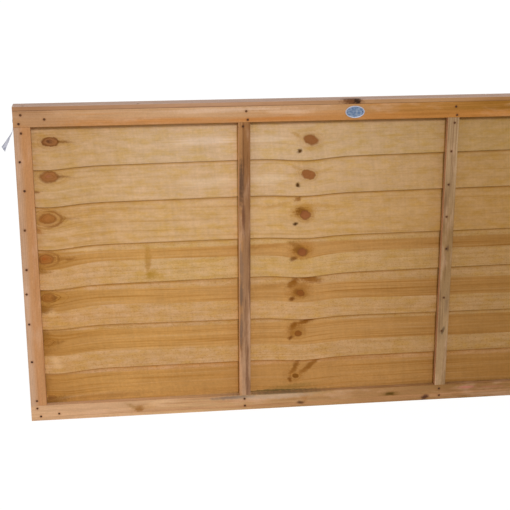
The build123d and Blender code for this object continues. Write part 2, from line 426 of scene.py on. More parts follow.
def timber_grain(finish, label, lengthways, seed):
    """The wires that the layers of one timber share."""
    x, y, z = places(finish)
    along, across_at = (x, z) if lengthways == 0 else (z, x)
    low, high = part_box(label)
    middle = (low + high) / 2
    away = across_at - middle[2 - lengthways]

    # Rings round a pith beside the timber
    drift = noise(along * 1.7 + seed, across_at * 9, y * 9) - 0.5
    pith_across = away + (0.035 + 0.008 * (seed % 3))
    pith_deep = y - middle.y + (0.03 if seed % 2 else -0.035)
    radius = (pith_across * pith_across + pith_deep * pith_deep).root() + drift * 0.02
    ring = (radius * (tau / ring_gap)).sine() * 0.5 + 0.5
    return SimpleNamespace(
        finish=finish, x=x, y=y, z=z, along=along, away=away, drift=drift, ring=ring * ring,
        streak=noise(along * 2.2 + 3.7 * seed, away * 95, y * 95, 3.0, 0.6),
        line=noise(along * 3.1 + seed, away * 240, y * 240, 2.0, 0.6),
        cloud=noise(along * 9 + seed, away * 30, y * 30, 3.0, 0.6),
        fibre=noise(along * 60, away * 1500 + seed, y * 1500, 2.0),
        speck=noise(along * 260, away * 260 + seed, y * 260, 2.0),
    )


print("rings", ring_gap / MM, "mm apart")

# %% Timber finish
def timber_colour(wood, seed, tones, streaks, grey=0.0, knots=(), across=None, sides=None):
    """Its tones along it, then streaks, patches, weathering and knots, and a painted highlight on its
    faces that look left.

    across is a tint, where it starts and is full across the timber, and its strength.
    """
    colour = along_tones(wood.along, tones)
    if across is not None:
        tint, start, end, share = across
        colour = blend(step(wood.away + wood.drift * 0.03, start, end) * share, colour, tint)
    colour = blend(step(wood.streak, 0.5, 0.74) * 0.75, colour, streaks)
    colour = stain(step(wood.line, 0.5, 0.74) * 0.6, colour, (0.8, 0.7, 0.58))
    colour = blend(step(wood.cloud, 0.5, 0.76) * 0.35, colour, (214, 176, 148))
    if grey:
        patch = noise(wood.along * 6 + 2 * seed, wood.away * 85, wood.y * 85, 3.0, 0.6)
        colour = stain(step(patch, 0.46, 0.64) * grey, colour, (0.6, 0.54, 0.51))
    wobble = (noise(wood.x * 90, seed, wood.z * 90, 3.0) - 0.5) * 1.2 + (wood.line - 0.5) * 1.4
    colour = smears(colour, wood.x, wood.z, wobble, knots)
    # Painted highlight: faces turned to the left get a paler colour, as if lit
    if sides is not None:
        colour = blend(step(facing(wood.finish, 0), -0.5, -0.9), colour, sides)
    return colour


def timber_finish(label, seed, **looks):
    """Sawn softwood, along X in a rail and along Z in the other timbers."""
    lengthways = 0 if "rail" in label else 2
    finish = Finish(label + "_wood")
    wood = timber_grain(finish, label, lengthways, seed)
    colour = timber_colour(wood, seed, **looks)

    # The ends soak up more stain, and rust creeps from each nail into the wood
    end_grain = step(abs(facing(finish, lengthways)), 0.6, 0.9)
    shade = (1.0 - wood.ring * 0.1) * (0.86 + wood.cloud * 0.28) * (0.9 + wood.fibre * 0.2)
    colour = brighten(colour, shade * (0.88 + wood.speck * 0.24) * (1.0 - end_grain * 0.22))
    nails = nails_in(label, rear_nails if label.endswith("rear") else front_nails)
    if nails:
        colour = stain(spots(wood.x, wood.z, nails, 5.0 * MM) * 0.7, colour, (0.62, 0.48, 0.38))
    finish.feed(Base_Color=colour, Roughness=0.82 - wood.ring * 0.1, Specular_IOR_Level=wood_gloss)
    height = wood.fibre * 0.5 + wood.ring * 0.25 + wood.speck * 0.25
    finish.feed(Normal=bump(height, 0.35 * MM, 0.7))
    return finish.material

# %% The timbers one by one
timbers = {
    "top_rail_front": dict(
        streaks=(206, 142, 80), across=((196, 130, 66), 0.004, -0.012, 0.65),
        tones=[(-0.9, (186, 142, 104)), (-0.73, (202, 156, 112)), (-0.475, (208, 164, 122)),
               (-0.14, (202, 156, 112)), (0.185, (178, 124, 62)), (0.4, (156, 106, 40)),
               (0.9, (148, 100, 38))],
        # The first three are painted highlights: pale streaks along the rail's upper edge
        knots=[(-350, 891, 160, 6, 0.01, 0.6, (226, 190, 160)),
               (-180, 884, 70, 6, -0.04, 0.55, (222, 182, 146)),
               (-640, 893, 100, 5, 0, 0.4, (216, 176, 140)),
               (-870, 868, 110, 14, 0, 0.75, (192, 148, 108)),
               (-230, 864, 120, 5, 0.01, 0.55, (196, 124, 58)),
               (-500, 866, 110, 6, 0.01, 0.55, (204, 138, 74)),
               (-20, 870, 60, 10, 0.1, 0.45, (190, 132, 72)),
               (230, 868, 70, 4, 0.02, 0.55, (158, 104, 42)),
               (480, 882, 90, 4, 0, 0.55, (140, 92, 34))]),
    "bottom_rail_front": dict(
        streaks=(190, 138, 96), grey=0.25,
        tones=[(-0.75, (218, 175, 134)), (-0.45, (213, 172, 126)), (-0.14, (190, 148, 100)),
               (0.12, (171, 128, 82)), (0.385, (147, 107, 62)), (0.9, (140, 101, 56))],
        knots=[(-590, 26, 34, 9, 0.1, 0.6, (176, 122, 58)),
               (-605, 22, 14, 9, 0.2, 0.8, (154, 102, 42)),
               (-628, 31, 20, 6, -0.5, 0.55, (164, 124, 70)),
               (-560, 34, 40, 8, 0.2, 0.6, (226, 184, 138)),
               (-130, 14, 14, 5, 0, 0.9, (88, 58, 36)),
               (-120, 30, 12, 18, 0, 0.5, (170, 116, 62)),
               (140, 27, 30, 8, 0, 0.6, (124, 88, 34)),
               (140, 27, 14, 5, 0, 0.95, (92, 66, 22)),
               (248, 10, 13, 8, 0.2, 0.95, (84, 50, 36)),
               (375, 35, 24, 4, 0, 0.65, (186, 112, 98)),
               (455, 33, 40, 3, 0, 0.45, (178, 118, 92)),
               (-335, 41, 70, 6, 0.03, 0.75, (126, 108, 96)),
               (-205, 38, 100, 8, 0, 0.55, (196, 172, 148)),
               (-180, 46, 120, 2, 0, 0.7, (112, 94, 66))]),
    "left_stile_front": dict(
        streaks=(202, 142, 96), across=((196, 136, 80), -0.012, 0.006, 0.75),
        tones=[(0.1, (206, 166, 134)), (0.35, (202, 162, 130)), (0.8, (194, 154, 122))]),
    "right_stile_front": dict(
        streaks=(150, 98, 52), grey=0.2,
        tones=[(0.0, (156, 114, 70)), (0.9, (160, 118, 74))]),
    # sides is the colour of a painted highlight on a batten's left face
    "left_batten_front": dict(
        streaks=(122, 80, 50), grey=1.0, sides=(238, 186, 138),
        across=((182, 132, 84), -0.005, -0.011, 0.85),
        tones=[(0.2, (178, 138, 104)), (0.5, (160, 118, 82)), (0.75, (150, 104, 64)),
               (0.86, (158, 110, 66))],
        knots=[(-304, 690, 7, 70, 0, 0.9, (96, 68, 50)),
               (-299, 590, 5, 40, 0, 0.7, (118, 78, 56)),
               (-305, 450, 5, 50, 0.05, 0.6, (126, 104, 90)),
               (-306, 360, 6, 40, 0, 0.7, (114, 94, 80)),
               (-307, 250, 6, 50, -0.05, 0.7, (114, 94, 82)),
               (-315, 500, 4, 90, 0, 0.5, (190, 152, 112))]),
    "right_batten_front": dict(
        streaks=(132, 98, 66), grey=0.6, sides=(210, 158, 116),
        tones=[(0.2, (168, 136, 98)), (0.5, (148, 115, 74)), (0.75, (182, 150, 112))],
        knots=[(294.5, 475, 4, 9, 0, 0.7, (96, 70, 52)),
               (299, 300, 5, 30, 0, 0.5, (126, 100, 76)),
               (293.5, 222, 4, 13, -0.3, 0.7, (92, 74, 52))]),
    "top_rail_rear": dict(
        streaks=(178, 118, 64), grey=0.1,
        tones=[(-0.7, (186, 140, 96)), (0.6, (164, 116, 66))],
        knots=[(310, 880, 14, 10, 0, 0.8, (112, 72, 38))]),
    "bottom_rail_rear": dict(
        streaks=(170, 116, 66), grey=0.2,
        tones=[(-0.7, (180, 136, 92)), (0.6, (158, 116, 72))],
        knots=[(-420, 22, 15, 10, 0, 0.8, (112, 72, 38))]),
    "left_stile_rear": dict(
        streaks=(180, 120, 70), grey=0.1,
        tones=[(0.1, (176, 130, 84)), (0.8, (182, 136, 92))]),
    "right_stile_rear": dict(
        streaks=(158, 106, 60), grey=0.1,
        tones=[(0.1, (160, 118, 74)), (0.8, (168, 124, 80))]),
    "left_batten_rear": dict(
        streaks=(140, 94, 58), grey=0.4,
        tones=[(0.1, (150, 109, 73)), (0.8, (156, 114, 76))],
        knots=[(-297, 520, 9, 14, 0, 0.8, (104, 68, 38))]),
    "right_batten_rear": dict(
        streaks=(138, 92, 58), grey=0.3,
        tones=[(0.1, (150, 109, 73)), (0.8, (150, 110, 74))]),
}


def dress(obj, *materials):
    """Gives a piece its materials, in place of those it came with."""
    obj.data.materials.clear()
    for material in materials:
        obj.data.materials.append(material)


for number, (label, looks) in enumerate(timbers.items(), 1):
    dress(nodes[label], timber_finish(label, number, **looks))
print("timbers finished:", len(timbers))

# %% [markdown]
# ## The capping strip
# A flat strip nailed over both rails sheds the rain. It is the same wood, but its top has
# greyed in the weather, and a dark knot breaks out at its front edge right of the middle.

# %% Capping strip
def cap_finish():
    finish = Finish("cap_wood")
    x, y, z = places(finish)
    streak = noise(x * 2.4, y * 130, z * 130, 3.0, 0.6)
    fibre = noise(x * 60, y * 1500, z * 1500)
    cloud = noise(x * 14, y * 60, z * 60, 3.0, 0.6)
    top = step(facing(finish, 2), 0.3, 0.9)
    ends = step(abs(facing(finish, 0)), 0.6, 0.9)
    colour = along_tones(x, [(-0.9, (172, 126, 90)), (-0.4, (190, 146, 112)),
                             (0.2, (180, 136, 94)), (0.55, (160, 114, 68))])
    colour = stain(step(streak, 0.48, 0.72) * 0.8, colour, (0.78, 0.68, 0.6))
    weathered = blend(streak, (222, 194, 178), (188, 156, 138))
    colour = blend(top * (0.8 + cloud * 0.2), colour, weathered)

    # The knot breaks out along the front edge, with pitch at its right end
    wobble = (cloud - 0.5) * 1.4 + (noise(x * 190, y * 300, z * 300) - 0.5) * 1.2
    deep = (y - front_y) / 1.6 + (panel_top - z)
    knot = oval(x, deep, (0.004, 0.005), (0.026, 0.009)) + wobble
    colour = blend(step(knot, 1.55, 0.35) * 0.9, colour, (104, 62, 34))
    pitch = oval(x, deep, (0.017, 0.005), (0.01, 0.006)) + wobble
    colour = blend(step(pitch, 1.3, 0.5) * 0.85, colour, (48, 32, 24))
    # Painted shade: the front of the strip darkens just above its joint with the rail
    painted_joint_shade = step(z, rail_top_joint + 2.2 * MM, rail_top_joint + 0.4 * MM) * (1.0 - top)
    shade = (0.86 + cloud * 0.28) * (0.9 + fibre * 0.2) * (1.0 - ends * 0.22) * (1.0 - painted_joint_shade * 0.45)
    stained = spots(x, y, cap_nails, 4.6 * MM) * top
    finish.feed(Base_Color=brighten(colour, shade * (1.0 - stained * 0.4)), Roughness=0.85,
                Specular_IOR_Level=wood_gloss, Normal=bump(fibre, 0.35 * MM, 0.7))
    return finish.material


dress(nodes["cap_strip"], cap_finish())
print("capping strip:", len(cap_nails), "nails")

# %% [markdown]
# ## The slats
# Slats are sawn 6 mm thin, so they are never quite flat: they cup, swell and dip a little,
# and light finds that at once. A flat board with a painted edge would look like card. Each
# slat is built as a grid that follows its wavy edge, eased where the saw left a thin arris,
# and it gives up a hair of thickness here and there, so that it stays inside its solid.

# %% Slat shapes
def contour(n, x, values):
    """Height of a line across a slat that dips as its edge does, for a number, array or wire."""
    off_pitch, climb, near_sag, far_sag = (v * MM for v in values)
    from_left = x - left_x
    even = rail_underside - (n + 1) * slat_pitch + off_pitch
    near = bell((from_left - near_knots) / near_spread) * near_sag
    far = bell((from_left - far_knots) / far_spread) * far_sag
    return from_left * (climb / width) + even - near - far


def edge_height(n, x):
    """Height of a slat's wavy lower edge."""
    return contour(n, x, slat_edges[n])


slat_low = [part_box(f"slat_{n + 1}")[0].z for n in range(slat_count)]
slat_top = [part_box(f"slat_{n + 1}")[1].z for n in range(slat_count)]
above = [rail_underside] + slat_low[:-1]
lean = [slat_thickness / (above[n] - slat_low[n]) for n in range(slat_count)]
lap_lean = [lean[0]] + lean[:-1]


def slat_face(n, z):
    """Y of a slat's front: it leans back to the slat above, then lies against its back."""
    below = slat_front_y + lean[n] * (z - slat_low[n])
    behind = slat_front_y + slat_thickness + lap_lean[n] * (z - above[n])
    return np.where(z < above[n], below, behind)


def swell(x, z, seed):
    """Slow unevenness of a thin board, from 0 to 1."""
    wave = np.sin(x * 9 + seed) + np.sin(x * 23 + z * 31 + 2 * seed) + np.sin(z * 57 + x * 5 - seed)
    return 0.5 + wave / 6


def add_piece(name, points, faces, replaced, materials, indices=None):
    """A new mesh that rides on the panel and stands for CAD nodes."""
    mesh = bpy.data.meshes.new(name)
    mesh.from_pydata([tuple(p) for p in points], [], faces)
    mesh.shade_smooth()
    mesh.validate()
    obj = bpy.data.objects.new(name, mesh)
    bpy.context.scene.collection.objects.link(obj)
    dress(obj, *materials)
    if indices is not None:
        mesh.polygons.foreach_set("material_index", indices)
    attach(obj, "root")
    if replaced:
        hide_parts(*replaced)
    return obj

# %% Slat meshes
stations = 305
give = 0.25 * MM
arris_rise, arris_loss = [0, 0.4, 0.9, 1.6], [1.3, 0.6, 0.2, 0.0]  # mm up, and mm worn off there


def tube(rows, sides, first=0):
    """Faces between rows of points, where each row runs round and closes."""
    return [(a + k, a + (k + 1) % sides, a + sides + (k + 1) % sides, a + sides + k)
            for a in range(first, first + (rows - 1) * sides, sides) for k in range(sides)]


def sheet(loops):
    """A closed sheet from loops that run along its front and return along its back."""
    count, last = len(loops[0]), (len(loops) - 1) * len(loops[0])
    faces = [face[::-1] for face in tube(len(loops), count)]
    for first, turn in ((0, -1), (last, 1)):
        for j in range(count // 2 - 1):
            corners = (first + j, first + count - 1 - j, first + count - 2 - j, first + j + 1)
            faces.append(corners[::turn])
    return [p for loop in loops for p in loop], faces


def slat_mesh(n):
    """Points and faces: a loop round the board for each step along it."""
    low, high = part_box(f"slat_{n + 1}")
    loops = []
    for x in np.linspace(low.x, high.x, stations):
        foot = max(float(edge_height(n, x)), slat_low[n]) if n < slat_count - 1 else slat_low[n]
        full = (slat_top[n] - foot) / MM
        rise = np.concatenate([arris_rise, [3.0, 6.0], np.linspace(12, full, 17)])
        z = foot + rise * MM
        ease = np.interp(rise, arris_rise, arris_loss) * MM
        wave = swell(x, z, 1.7 * n)
        front = slat_face(n, z) + give * wave + ease
        back = slat_face(n, z) + slat_thickness - give * (1 - wave)
        up, down = zip(front, z), zip(back[::-1], z[::-1])
        loops.append([(x, y, height) for y, height in [*up, *down]])
    return sheet(loops)


print("the top slat leans back", round(lean[0], 3), "for each metre up")

# %% [markdown]
# ## The slats' wood
# All seven slats come from one log, sawn one after the other, so their knots line up from
# top to bottom: one near the left end and one in the middle bay. Near the bark the wood is
# pale sapwood. Nearer the heart it turns orange, and the lower slats were cut nearer the
# heart, so they show a darker band that widens. The panel is palest left of the middle.

# %% Tones and heartwood of each slat
# The right-hand colours are darker partly from painted light: a falloff of light across the panel is
# painted into them
# From the top slat down: the colours at its left, in the middle and at its right
slat_tones = [
    [(193, 155, 110), (203, 170, 132), (165, 131, 83)],
    [(194, 156, 109), (204, 168, 127), (165, 128, 80)],
    [(195, 153, 102), (203, 164, 116), (164, 125, 75)],
    [(198, 155, 106), (200, 161, 108), (163, 127, 82)],
    [(198, 153, 101), (197, 155, 106), (163, 127, 83)],
    [(196, 152, 99), (195, 153, 104), (162, 126, 81)],
    [(196, 152, 106), (196, 148, 100), (160, 118, 74)],
]

# For the slats that have heartwood, its lower and upper border, by the rule of the wavy edges
heart_borders = {
    3: ((74.9, 3.7, 20.4, 14.4), (103.5, 9.7, 0.0, 0.0)),
    4: ((62.9, -21.9, 16.5, 11.7), (105.6, -8.7, 0.0, 5.0)),
    5: ((34.4, 2.1, 9.5, 7.0), (101.2, -3.6, 0.0, 0.0)),
    6: ((-90.0, 0.0, 0.0, 0.0), (84.0, 0.0, 0.0, 0.0)),
}
# These darken to the right as well, partly a painted falloff of light
heart_tones = [(-0.9, (176, 126, 64)), (-0.6, (194, 145, 82)), (-0.2, (187, 139, 81)),
               (0.5, (148, 105, 53))]
print("slats with heartwood:", [n + 1 for n in heart_borders])

# %% Knots of each slat
# Place and radii in mm, strengths of core, rim, rings and outer ring, length in mm and
# strength of the dark grain to its right, and the colours of core and pith
EndKnot = namedtuple("EndKnot", "place radii core rim rings hoop reach tail tint pith")
end_knots = [
    ((-821, 811), (22, 12.5), 0.8, 0.85, 0.35, 0, 55, 0.95, (142, 88, 46), (84, 48, 30)),
    ((-828, 714), (25, 15), 0.9, 0.45, 0.3, 0, 55, 0.75, (154, 98, 50), (160, 98, 66)),
    ((-839, 596), (23.5, 14.5), 0.85, 0.35, 0.8, 0.8, 60, 0.45, (154, 98, 44), (166, 106, 54)),
    ((-850, 480), (21.5, 14), 0.8, 0.45, 1, 0.5, 50, 0.45, (160, 98, 42), (166, 88, 36)),
    ((-850, 365), (21, 12.5), 0.5, 0.25, 0.9, 0, 30, 0.3, (156, 98, 42), (150, 92, 36)),
    ((-857, 232), (12, 9), 0.15, 0, 0.9, 0, 40, 0.25, (156, 104, 46), (146, 94, 38)),
    ((-856, 62), (14, 8), 0.35, 0, 0.6, 0, 30, 0, (138, 88, 40), (110, 68, 28)),
]

# The knots of the middle bay, with no outer ring and no dark grain to the right
WhorlKnot = namedtuple("WhorlKnot", "place radii core rim rings tint")
whorl = [
    ((-107, 799), (20.5, 13.8), 0.95, 0.25, 0.3, (142, 89, 46)),
    ((-113, 700), (20, 13.8), 0.95, 0.25, 0.3, (146, 91, 48)),
    ((-121, 583), (16, 13), 0.9, 0.45, 0.4, (144, 86, 50)),
    ((-127, 473), (14.5, 11.5), 0.9, 0.45, 0.5, (141, 82, 44)),
    ((-131, 350), (12.5, 9.5), 0.9, 0.4, 0.5, (134, 78, 30)),
    ((-136, 224), (10.5, 8.5), 0.85, 0.4, 0.6, (132, 76, 24)),
    ((-142, 90), (8.5, 6.5), 0.9, 0.3, 0.6, (122, 74, 16)),
]


def metres(pair):
    """A place or two radii in metres, from millimetres."""
    return [v * MM for v in pair]


end_knots = [EndKnot(metres(place), metres(radii), *rest) for place, radii, *rest in end_knots]
whorl = [WhorlKnot(metres(place), metres(radii), *rest) for place, radii, *rest in whorl]
print("knots:", len(end_knots), "near the left end and", len(whorl), "in the middle bay")

# %% Smaller marks of each slat
# Each is a place and two radii in mm, a tilt, a strength and a colour
whorl_partners = [
    (-139, 768, 7.5, 6.5, 0.3, 1, (84, 52, 16)),
    (-142, 671, 7.5, 6.5, 0.3, 1, (84, 52, 16)),
    (-147, 558, 7, 6, 0.3, 0.95, (72, 42, 10)),
    (-152, 454, 10.5, 6.5, 0.3, 0.85, (116, 68, 22)),
    (-155, 333, 10, 6.5, 0.3, 0.9, (112, 62, 14)),
    (-158, 212, 8.5, 6.5, 0.3, 0.9, (114, 64, 14)),
    (-160, 80, 6, 8.5, 0.3, 0.8, (120, 68, 10)),
]
marks = [
    [(-880, 765, 3, 7.5, 0, 0.85, (112, 64, 34)),
     (-150, 815, 18, 5, -0.5, 0.5, (170, 126, 52)),
     (-55, 808, 30, 6, 0.15, 0.15, (182, 140, 64)),
     (-180, 861, 110, 8, 0, 0.6, (164, 108, 40)),
     (-110, 775, 20, 6, 0, 0.4, (180, 136, 60)),
     (-110, 828, 35, 6, 0.1, 0.4, (184, 142, 64)),
     # The last two are painted sheen: pale streaks
     (-400, 803, 90, 12, 0.03, 0.6, (222, 194, 168)),
     (-230, 806, 50, 11, 0.03, 0.5, (218, 190, 160))],
    [(-866, 673, 13, 3.5, 0, 0.8, (140, 92, 44)),
     (-112, 735, 45, 7, 0.1, 0.5, (182, 140, 60)),
     (-62, 712, 30, 5, 0.25, 0.4, (180, 138, 66)),
     (-150, 722, 20, 5, -0.4, 0.45, (174, 130, 58)),
     # The last two are painted sheen: pale streaks
     (-390, 685, 90, 14, 0.03, 0.55, (222, 190, 156)),
     (-230, 690, 50, 14, 0.03, 0.55, (220, 190, 156))],
    [(-872, 566, 20, 8, -0.5, 0.85, (166, 112, 60)),
     (-141, 630, 11, 7.5, 0.6, 0.9, (146, 96, 46)),
     (-126, 594, 37, 24, 0.2, 0.75, (176, 124, 46)),
     (-133, 594, 17.5, 11.5, 0.3, 1.0, (130, 80, 24)),
     (-205, 612, 60, 6, 0.2, 0.45, (178, 130, 60)),
     (-60, 608, 60, 6, -0.1, 0.45, (180, 132, 62)),
     # Painted sheen: a pale streak
     (-280, 590, 80, 12, 0.03, 0.4, (214, 178, 138))],
    [(-567, 468, 8.5, 42, 0, 0.7, (172, 124, 54)),
     (-560, 424, 18.5, 14, 0.3, 0.8, (172, 128, 44)),
     (-535, 420, 16, 9, 0, 0.7, (188, 144, 72)),
     (-592, 431, 12, 12, 0, 0.6, (190, 146, 74)),
     (-735, 504, 60, 5, 0.04, 0.9, (210, 170, 120)),
     (-786, 477, 10, 4, 0, 0.85, (138, 88, 38)),
     (-130, 480, 36, 25, 0.3, 0.7, (162, 106, 40)),
     (-138, 481, 16.5, 11, 0.3, 0.95, (126, 78, 24)),
     (-150, 496, 20, 8, -0.4, 0.7, (142, 94, 38)),
     (-240, 494, 80, 6, 0.06, 0.5, (164, 112, 52)),
     (-10, 500, 90, 6, -0.02, 0.2, (164, 112, 52)),
     (-880, 452, 38, 12, -0.2, 0.85, (150, 102, 44)),
     (-800, 480, 40, 6, 0, 0.5, (160, 106, 48))],
    [(-153, 380, 18, 11, 0.6, 1.0, (126, 74, 16)),
     (-100, 389, 34, 9, -0.1, 0.9, (138, 86, 28)),
     (-134, 360, 36, 27, 0.2, 0.7, (150, 96, 34)),
     (-139, 354, 15, 10, 0.2, 0.8, (128, 78, 26)),
     (-842, 322, 14, 12, -0.8, 0.55, (214, 172, 122)),
     (-800, 306, 30, 12, -0.8, 0.35, (184, 136, 82)),
     (-875, 332, 36, 15, 0.1, 0.85, (142, 94, 36)),
     (-870, 385, 30, 10, 0, 0.6, (150, 102, 44)),
     (-833, 362, 7, 8, 0, 0.8, (112, 70, 30)),
     (-210, 374, 60, 8, 0.1, 0.5, (160, 110, 48))],
    [(-151, 248, 16, 9, 0.9, 1.0, (124, 72, 14)),
     (-110, 264, 36, 8, 0.3, 0.95, (130, 78, 20)),
     (-142, 234, 32, 25, 0.3, 0.65, (148, 94, 32)),
     (-150, 226, 12, 7, 0.1, 0.75, (140, 88, 30)),
     (-838, 170, 12, 20, 0.5, 0.55, (214, 172, 124)),
     (-800, 155, 22, 16, 0.5, 0.35, (186, 138, 84)),
     (-868, 205, 36, 10, 0.2, 0.35, (138, 90, 36)),
     (-882, 245, 26, 45, -0.2, 0.75, (140, 94, 38)),
     (-840, 226, 26, 5, 0.2, 0.6, (140, 92, 40))],
    [(-146, 117, 30, 7.5, 1.05, 1.0, (124, 72, 12)),
     (-104, 118, 38, 8, 0.7, 1.0, (128, 76, 16)),
     (-250, 100, 350, 60, 0, 0.35, (162, 114, 58)),
     (-856, 54, 50, 12, 0.1, 0.75, (112, 74, 34)),
     (-880, 110, 20, 40, 0.1, 0.55, (144, 98, 44)),
     (-150, 90, 30, 30, 0.1, 0.35, (150, 100, 44)),
     (-150, 58, 70, 8, 0.1, 0.45, (134, 104, 50)),
     (-195, 48, 110, 3, 0, 0.8, (96, 80, 46)),
     (-700, 60, 120, 8, 0.02, 0.4, (150, 104, 54))],
]
print("marks on the slats:", [len(several) for several in marks])

# %% [markdown]
# ## The slats' grain
# Chance that is stretched along a board looks like grain, but real grain follows the wavy
# edge and parts round the knots, because all three grew together. So the stretching is done
# along the flow of the wood. Every layer of colour then uses the same few kinds of chance.

# %% Grain of a slat
def slat_grain(finish, n):
    """The wires that the layers of one slat share."""
    x, y, z = places(finish)
    end, knot = end_knots[n], whorl[n]
    up = z - edge_height(n, x)

    # Nothing in a tree is a true oval, so chance shifts every place a little
    wx = x + (noise(x * 55, z * 55, 1.9 * n, 4.0, 0.65) - 0.5) * 0.016
    wz = z + (noise(x * 55 + 9.0, z * 70, 1.9 * n, 4.0, 0.65) - 0.5) * 0.012

    flow = up
    for place, radii in ((end.place, end.radii), (knot.place, knot.radii)):
        near = bell(oval(x, z, place, (radii[0] * 2.4, radii[1] * 2.0)))
        flow = flow - (z - place[1]) * near * 0.72
    drift = noise(x * 2.1 + n, flow * 20, 3.1 * n)
    level, turn = flow + drift * 0.012, step(x, -0.6, 0.5)
    return SimpleNamespace(
        finish=finish, x=x, z=z, wx=wx, wz=wz, turn=turn,
        streak=noise(x * 1.6 + 5.3 * n, level * 130, 1.7 * n, 3.0, 0.68),
        line=noise(x * 2.6 + 1.3 * n, level * 300, 2.3 * n, 2.0, 0.6),
        patch=noise(x * 16 + n, z * 45, 0.7 * n, 4.0, 0.65),
        hue=noise(x * 20 + 7.1 * n, z * 55, 1.9 * n, 3.0, 0.65),
        speck=noise(x * 150, z * 170, y * 150 + n, 4.0, 0.8),
        saw=noise(x * 130 + up * 14, z * 6, 0.3 * n, 1.0),
        dark=blend(turn, (112, 66, 28), (92, 54, 22)),
        end_distance=flame(wx, wz, end.place, end.radii, 2.6),
        knot_distance=oval(wx, wz, knot.place, knot.radii, -0.25),
    )

# %% Sapwood, heartwood and grain lines
def sapwood(n, wood):
    """Pale wood near the bark, pinkish in places and olive in others."""
    left, middle, right = slat_tones[n]
    colour = along_tones(wood.x, [(-0.8, left), (-0.5, middle), (-0.3, middle), (0.5, right)])
    colour = stain(step(wood.hue, 0.44, 0.68) * 0.85, colour, (0.95, 0.9, 0.62))
    pink = blend(wood.turn, (220, 182, 150), (186, 146, 104))
    return blend(step(wood.hue, 0.5, 0.3) * 0.25, colour, pink)


def heartwood(n, wood, colour):
    """The orange band between two borders, and where it is; the upper slats have none."""
    if n not in heart_borders:
        return colour, 0.0
    low_line, high_line = (contour(n, wood.x, values) for values in heart_borders[n])
    rough = (wood.streak - 0.5) * 0.01 + (wood.line - 0.5) * 0.004
    over_low = step(wood.z - low_line + rough, -1.6 * MM, 1.6 * MM)
    band = over_low * step(wood.z - high_line + rough, 3.0 * MM, -3.0 * MM)
    colour = blend(band * 0.95, colour, along_tones(wood.x, heart_tones))
    pepper = noise(wood.x * 240, wood.z * 270, 4.3 * n, 1.0)
    return stain(step(pepper, 0.56, 0.7) * (1.0 - band) * 0.6, colour, (0.8, 0.68, 0.52)), band


def grain_lines(n, wood, colour, band):
    """Dark late wood, pale early wood and fine lines, stronger from the third slat down."""
    strong = band * 0.4 + (0.5 if n > 1 else 0.36)
    colour = stain(step(wood.streak, 0.5, 0.72) * strong, colour, (0.8, 0.7, 0.48))
    early = blend(wood.turn, (216, 178, 136), (180, 140, 94))
    colour = blend(step(wood.streak, 0.47, 0.26) * 0.35, colour, early)
    return stain(step(wood.line, 0.5, 0.7) * (strong * 0.9), colour, (0.82, 0.74, 0.58))

# %% Rings and marks
def marks_and_rings(n, wood, colour):
    """The smaller marks, and the growth rings that crowd round both knots."""
    feather = (wood.line - 0.5) * 1.3 + (wood.speck - 0.5) * 1.0
    colour = smears(colour, wood.wx, wood.wz, feather, marks[n])
    halo = blend(wood.turn, (180, 128, 56), (146, 100, 38))
    for distance, rings, wide in ((wood.end_distance, end_knots[n].rings, 1.0),
                                  (wood.knot_distance, whorl[n].rings, 0.8)):
        near = bell((distance - 1.1) / wide)
        colour = blend(near * (0.15 + 0.25 * rings), colour, halo)
        grown = noise(distance * 5.5, 2.7 * n, wood.wx * 5, 2.0)
        colour = stain(step(grown, 0.5, 0.6) * near * rings, colour, (0.66, 0.52, 0.3))
    return colour

# %% Knots
def end_knot(n, wood, colour):
    """The knot near the left end: an outer ring on some, then a rim, a core and its pith."""
    end, wx, wz = end_knots[n], wood.wx, wood.wz
    if end.hoop:
        hoop = oval(wx, wz, (end.place[0] + 3 * MM, end.place[1] - 1 * MM), end.radii)
        right_side = step(wood.x - end.place[0], -0.02, 0.012) * 0.8 + 0.2
        colour = blend(step(hoop, 1.8, 1.25) * 0.55 * end.hoop, colour, (176, 124, 66))
        colour = blend(bell((hoop - 1.5) / 0.2) * right_side * end.hoop, colour, (142, 92, 42))
    colour = eye(colour, oval(wx, wz, end.place, end.radii), end.core, end.rim, end.tint, wood.dark)
    mottle = step(noise(wood.end_distance * 7, 1.1 * n, wx * 9), 0.45, 0.65)
    inside = step(wood.end_distance, 0.95, 0.8)
    colour = stain(mottle * inside * 0.6, colour, (0.74, 0.6, 0.46))
    pith = oval(wx, wz, (end.place[0] - 4 * MM, end.place[1] + 1 * MM), (7.5 * MM, 4 * MM))
    return blend(bell(pith) * end.core, colour, end.pith)


def whorl_knot(n, wood, colour):
    """The knot in the middle bay, with the small dark one beside it."""
    knot = whorl[n]
    colour = eye(colour, wood.knot_distance, knot.core, knot.rim, knot.tint, wood.dark)
    inside = step(wood.knot_distance, 0.95, 0.7)
    colour = stain(step(wood.speck, 0.46, 0.62) * inside * 0.6, colour, (0.78, 0.66, 0.6))
    return smears(colour, wood.wx, wood.wz, (wood.speck - 0.5) * 0.6, [whorl_partners[n]])


def knot_tail(n, wood, colour):
    """A spindle of dark grain that runs on to the right of the end knot."""
    end = end_knots[n]
    if not end.tail:
        return colour
    start = end.place[0] + end.radii[0] * (0.8 + end.hoop)
    ahead = (wood.wx - start) / (end.reach * MM)
    tail = step(ahead, 0.0, 0.05) * step(ahead, 1.1, 0.2)
    tail = tail * bell((wood.wz - end.place[1] + ahead * 0.003) / (ahead * -0.0034 + 0.005))
    return blend(tail * (0.85 * end.tail), colour, (118, 74, 28))

# %% Painted shade and dirt, and the slats themselves
batten_low, batten_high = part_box("left_batten_front")
far_low, far_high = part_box("right_batten_front")
